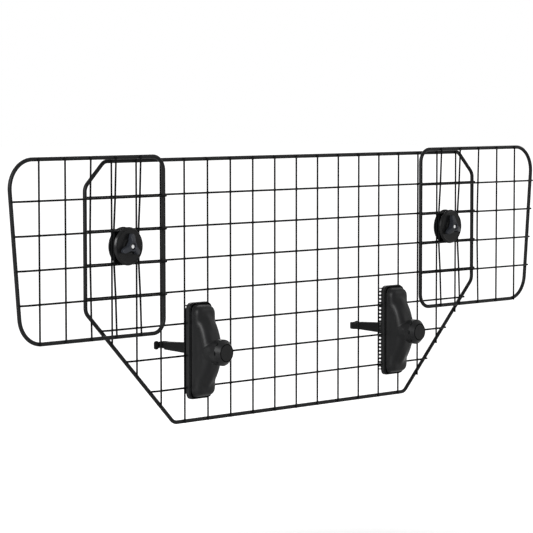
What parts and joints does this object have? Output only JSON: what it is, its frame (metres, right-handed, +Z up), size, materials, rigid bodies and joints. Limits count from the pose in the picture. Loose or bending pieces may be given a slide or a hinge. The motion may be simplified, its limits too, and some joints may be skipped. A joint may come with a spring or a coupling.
{
  "type": "car dog guard",
  "caption": "Welded-mesh car dog guard: a main panel, sliding mesh wings held by disc clamps, and toothed clamps whose hooks are drawn on to the head-rest posts.",
  "frame": {"origin": "centre of the whole guard's box with the wings and hooks at rest", "axes": "+X along the guard from its left end to its right end as seen from the boot, +Y towards the back seat and the hooks' claws, +Z up"},
  "size_m": [1.2082, 0.1532, 0.4192],
  "materials": {
    "wire": "satin black coat",
    "casing": "fine moulded grain",
    "disc": "satin moulded",
    "grip": "satin moulded",
    "zinc": "bright zinc plate"
  },
  "bodies": {
    "main_panel": {"main_frame": "wire", "main_uprights": "wire", "main_cross_wires": "wire", "left_clamp_base": "casing", "left_clamp_cover": "casing", "right_clamp_base": "casing", "right_clamp_cover": "casing"},
    "left_wing": {"left_wing_frame": "wire", "left_wing_uprights": "wire", "left_wing_cross_wires": "wire", "left_rear_disc": "disc", "left_disc_bolt": "zinc"},
    "left_clamp_disc": {"left_front_disc": "disc"},
    "left_hand_nut": {"left_disc_knob": "grip", "left_disc_nut": "zinc"},
    "left_post_hook": {"left_hook": "casing", "left_stud": "zinc"},
    "left_hand_knob": {"left_tension_knob": "casing", "left_knob_nut": "zinc", "left_thrust_washer": "zinc"},
    "right_wing": {"right_wing_frame": "wire", "right_wing_uprights": "wire", "right_wing_cross_wires": "wire", "right_rear_disc": "disc", "right_disc_bolt": "zinc"},
    "right_clamp_disc": {"right_front_disc": "disc"},
    "right_hand_nut": {"right_disc_knob": "grip", "right_disc_nut": "zinc"},
    "right_post_hook": {"right_hook": "casing", "right_stud": "zinc"},
    "right_hand_knob": {"right_tension_knob": "casing", "right_knob_nut": "zinc", "right_thrust_washer": "zinc"}
  },
  "joints": [
    {"name": "left_wing_slide", "type": "slide", "parent": "main_panel", "child": "left_wing", "axis": [-1, 0, 0], "range_m": [-0.02, 0.02]},
    {"name": "left_disc_travel", "type": "slide", "parent": "left_wing", "child": "left_clamp_disc", "axis": [0, -1, 0], "range_m": [0, 0.003]},
    {"name": "left_disc_nut_turn", "type": "hinge", "parent": "left_clamp_disc", "child": "left_hand_nut", "pos_m": [-0.375, -0.0197, 0.072], "axis": [0, -1, 0], "range_deg": [0, 1075]},
    {"name": "left_hook_draw", "type": "slide", "parent": "main_panel", "child": "left_post_hook", "axis": [0, 1, 0], "range_m": [-0.004, 0.006]},
    {"name": "left_knob_turn", "type": "hinge", "parent": "main_panel", "child": "left_hand_knob", "pos_m": [-0.2265, -0.0642, -0.096], "axis": [0, -1, 0], "range_deg": [-570, 860]},
    {"name": "right_wing_slide", "type": "slide", "parent": "main_panel", "child": "right_wing", "axis": [1, 0, 0], "range_m": [-0.02, 0.02]},
    {"name": "right_disc_travel", "type": "slide", "parent": "right_wing", "child": "right_clamp_disc", "axis": [0, -1, 0], "range_m": [0, 0.003]},
    {"name": "right_disc_nut_turn", "type": "hinge", "parent": "right_clamp_disc", "child": "right_hand_nut", "pos_m": [0.375, -0.0197, 0.072], "axis": [0, -1, 0], "range_deg": [0, 1075]},
    {"name": "right_hook_draw", "type": "slide", "parent": "main_panel", "child": "right_post_hook", "axis": [0, 1, 0], "range_m": [-0.004, 0.006]},
    {"name": "right_knob_turn", "type": "hinge", "parent": "main_panel", "child": "right_hand_knob", "pos_m": [0.2265, -0.0642, -0.096], "axis": [0, -1, 0], "range_deg": [-570, 860]}
  ],
  "couplings": [
    {"joint": "left_disc_travel", "follows": "left_disc_nut_turn", "m_per_rad": 0.00015915},
    {"joint": "left_hook_draw", "follows": "left_knob_turn", "m_per_rad": 0.00039789},
    {"joint": "right_disc_travel", "follows": "right_disc_nut_turn", "m_per_rad": 0.00015915},
    {"joint": "right_hook_draw", "follows": "right_knob_turn", "m_per_rad": 0.00039789}
  ]
}
